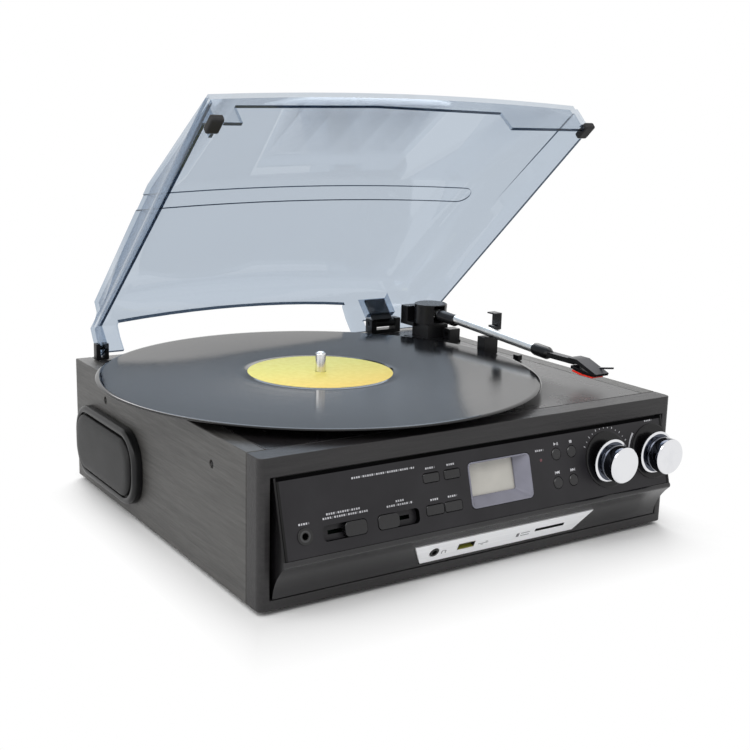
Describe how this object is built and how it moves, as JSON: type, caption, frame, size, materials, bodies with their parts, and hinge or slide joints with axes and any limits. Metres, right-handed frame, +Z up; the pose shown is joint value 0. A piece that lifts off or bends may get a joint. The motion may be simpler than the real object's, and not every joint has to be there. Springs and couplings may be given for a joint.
{
  "type": "record player",
  "caption": "Box-shaped record player with a tilted control panel, side grilles, belt-driven platter, tone arm and clear flip-up lid.",
  "frame": {"origin": "centre of the whole object's outline at rest, lid open, at the bottom of the feet", "axes": "+Z up; -Y towards the front with the control panel; +X to the right as seen from the front"},
  "size_m": [0.3504, 0.3204, 0.2855],
  "materials": {
    "cabinet_woodgrain": "black wood-grain vinyl, semi-matt",
    "base_fibreboard": "dark fibreboard, matt",
    "deck_black": "black satin deck covering",
    "fascia_black": "black satin-gloss moulding",
    "panel_black": "dark satin panel with fine pale marks",
    "button_black": "black satin",
    "knob_chrome": "polished, chrome plated",
    "bezel_grey": "blue-grey satin",
    "display_screen": "pale grey liquid-crystal screen",
    "strip_silver": "silver, satin",
    "jack_black": "black, satin",
    "socket_steel": "tinned steel shell",
    "grille_black": "black, satin frame",
    "speaker_black": "black paper cone and steel frame",
    "foot_rubber": "black rubber",
    "circuit_board": "green solder mask",
    "motor_steel": "zinc plated can",
    "turned_brass": "turned brass",
    "belt_rubber": "black rubber belt",
    "vinyl": "black pressed vinyl with a pale label",
    "mat_rubber": "black ribbed rubber",
    "platter_black": "black moulding",
    "spindle_steel": "polished steel",
    "smoked_clear": "clear blue-smoke acrylic",
    "hinge_black": "black, satin",
    "buffer_rubber": "black rubber",
    "arm_black": "black, satin",
    "arm_silver": "silver anodised",
    "weight_metal": "bare metal",
    "head_grey": "grey cover, black underside",
    "stylus_red": "red"
  },
  "bodies": {
    "cabinet": {"left_side_panel": "cabinet_woodgrain", "right_side_panel": "cabinet_woodgrain", "front_frame": "cabinet_woodgrain", "back_panel": "cabinet_woodgrain", "base_board": "base_fibreboard", "deck_panel": "deck_black", "front_fascia": "fascia_black", "control_panel": "panel_black", "display_bezel": "bezel_grey", "display_module": "display_screen", "port_strip": "strip_silver", "headphone_jack": "jack_black", "aux_jack": "jack_black", "usb_socket": "socket_steel", "left_grille": "grille_black", "right_grille": "grille_black", "left_speaker": "speaker_black", "right_speaker": "speaker_black", "front_left_foot": "foot_rubber", "front_right_foot": "foot_rubber", "rear_left_foot": "foot_rubber", "rear_right_foot": "foot_rubber", "main_board": "circuit_board", "motor": "motor_steel", "bearing_bush": "turned_brass", "drive_belt": "belt_rubber", "platter_well": "platter_black", "left_hinge_base": "hinge_black", "right_hinge_base": "hinge_black", "arm_base": "arm_black", "arm_rest": "arm_black"},
    "lid": {"lid": "smoked_clear", "right_hinge_leaf": "hinge_black", "left_lid_buffer": "buffer_rubber", "right_lid_buffer": "buffer_rubber"},
    "platter": {"platter": "platter_black", "slip_mat": "mat_rubber", "record": "vinyl", "spindle": "spindle_steel"},
    "motor_pulley": {"motor_pulley": "turned_brass"},
    "arm_swivel": {"arm_turret": "arm_black"},
    "tone_arm": {"arm_tube": "arm_silver", "balance_weight": "weight_metal", "headshell": "head_grey", "cartridge": "arm_black", "stylus_holder": "stylus_red"},
    "arm_clip": {"arm_clip": "arm_black"},
    "tuning_knob": {"tuning_knob": "knob_chrome"},
    "volume_knob": {"volume_knob": "knob_chrome"},
    "function_switch": {"function_switch": "button_black"},
    "band_switch": {"band_switch": "button_black"},
    "speed_lever": {"speed_lever": "arm_black"},
    "record_button": {"record_button": "button_black"},
    "mode_button": {"mode_button": "button_black"},
    "delete_button": {"delete_button": "button_black"},
    "program_button": {"program_button": "button_black"},
    "play_button": {"play_button": "button_black"},
    "stop_button": {"stop_button": "button_black"},
    "previous_button": {"previous_button": "button_black"},
    "next_button": {"next_button": "button_black"}
  },
  "joints": [
    {"name": "lid_hinge", "type": "hinge", "parent": "cabinet", "child": "lid", "pos_m": [0.00985, 0.14178, 0.1002], "axis": [1, 0, 0], "range_deg": [0, 41.6]},
    {"name": "platter_spin", "type": "hinge", "parent": "cabinet", "child": "platter", "pos_m": [-0.02415, 0.00678, 0.0958], "axis": [0, 0, 1], "continuous": true},
    {"name": "motor_spin", "type": "hinge", "parent": "cabinet", "child": "motor_pulley", "pos_m": [0.01785, 0.07953, 0.0826], "axis": [0, 0, 1], "continuous": true},
    {"name": "arm_swing", "type": "hinge", "parent": "cabinet", "child": "arm_swivel", "pos_m": [0.13385, 0.09778, 0.106], "axis": [0, 0, 1], "range_deg": [-43, 0]},
    {"name": "arm_lift", "type": "hinge", "parent": "arm_swivel", "child": "tone_arm", "pos_m": [0.13385, 0.09778, 0.115], "axis": [1, 0, 0], "range_deg": [-8, 0]},
    {"name": "arm_clip_hinge", "type": "hinge", "parent": "cabinet", "child": "arm_clip", "pos_m": [0.14005, 0.02328, 0.114], "axis": [0, -1, 0], "range_deg": [0, 92]},
    {"name": "tuning_turn", "type": "hinge", "parent": "cabinet", "child": "tuning_knob", "pos_m": [0.10435, -0.15222, 0.0575], "axis": [0, -1, 0], "range_deg": [-150, 150]},
    {"name": "volume_turn", "type": "hinge", "parent": "cabinet", "child": "volume_knob", "pos_m": [0.14535, -0.15222, 0.0575], "axis": [0, -1, 0], "range_deg": [-150, 150]},
    {"name": "function_slide", "type": "slide", "parent": "cabinet", "child": "function_switch", "axis": [1, 0, 0], "range_m": [-0.0139, 0]},
    {"name": "band_slide", "type": "slide", "parent": "cabinet", "child": "band_switch", "axis": [1, 0, 0], "range_m": [0, 0.0139]},
    {"name": "speed_slide", "type": "slide", "parent": "cabinet", "child": "speed_lever", "axis": [1, 0, 0], "range_m": [-0.008, 0]},
    {"name": "record_press", "type": "slide", "parent": "cabinet", "child": "record_button", "axis": [0, 0.9632, -0.2688], "range_m": [0, 0.001], "stiffness_N_per_m": 400},
    {"name": "mode_press", "type": "slide", "parent": "cabinet", "child": "mode_button", "axis": [0, 0.9632, -0.2688], "range_m": [0, 0.001], "stiffness_N_per_m": 400},
    {"name": "delete_press", "type": "slide", "parent": "cabinet", "child": "delete_button", "axis": [0, 0.9632, -0.2688], "range_m": [0, 0.001], "stiffness_N_per_m": 400},
    {"name": "program_press", "type": "slide", "parent": "cabinet", "child": "program_button", "axis": [0, 0.9632, -0.2688], "range_m": [0, 0.001], "stiffness_N_per_m": 400},
    {"name": "play_press", "type": "slide", "parent": "cabinet", "child": "play_button", "axis": [0, 0.9632, -0.2688], "range_m": [0, 0.001], "stiffness_N_per_m": 400},
    {"name": "stop_press", "type": "slide", "parent": "cabinet", "child": "stop_button", "axis": [0, 0.9632, -0.2688], "range_m": [0, 0.001], "stiffness_N_per_m": 400},
    {"name": "previous_press", "type": "slide", "parent": "cabinet", "child": "previous_button", "axis": [0, 0.9632, -0.2688], "range_m": [0, 0.001], "stiffness_N_per_m": 400},
    {"name": "next_press", "type": "slide", "parent": "cabinet", "child": "next_button", "axis": [0, 0.9632, -0.2688], "range_m": [0, 0.001], "stiffness_N_per_m": 400}
  ],
  "couplings": [
    {"joint": "motor_spin", "follows": "platter_spin", "ratio": 15.667}
  ]
}
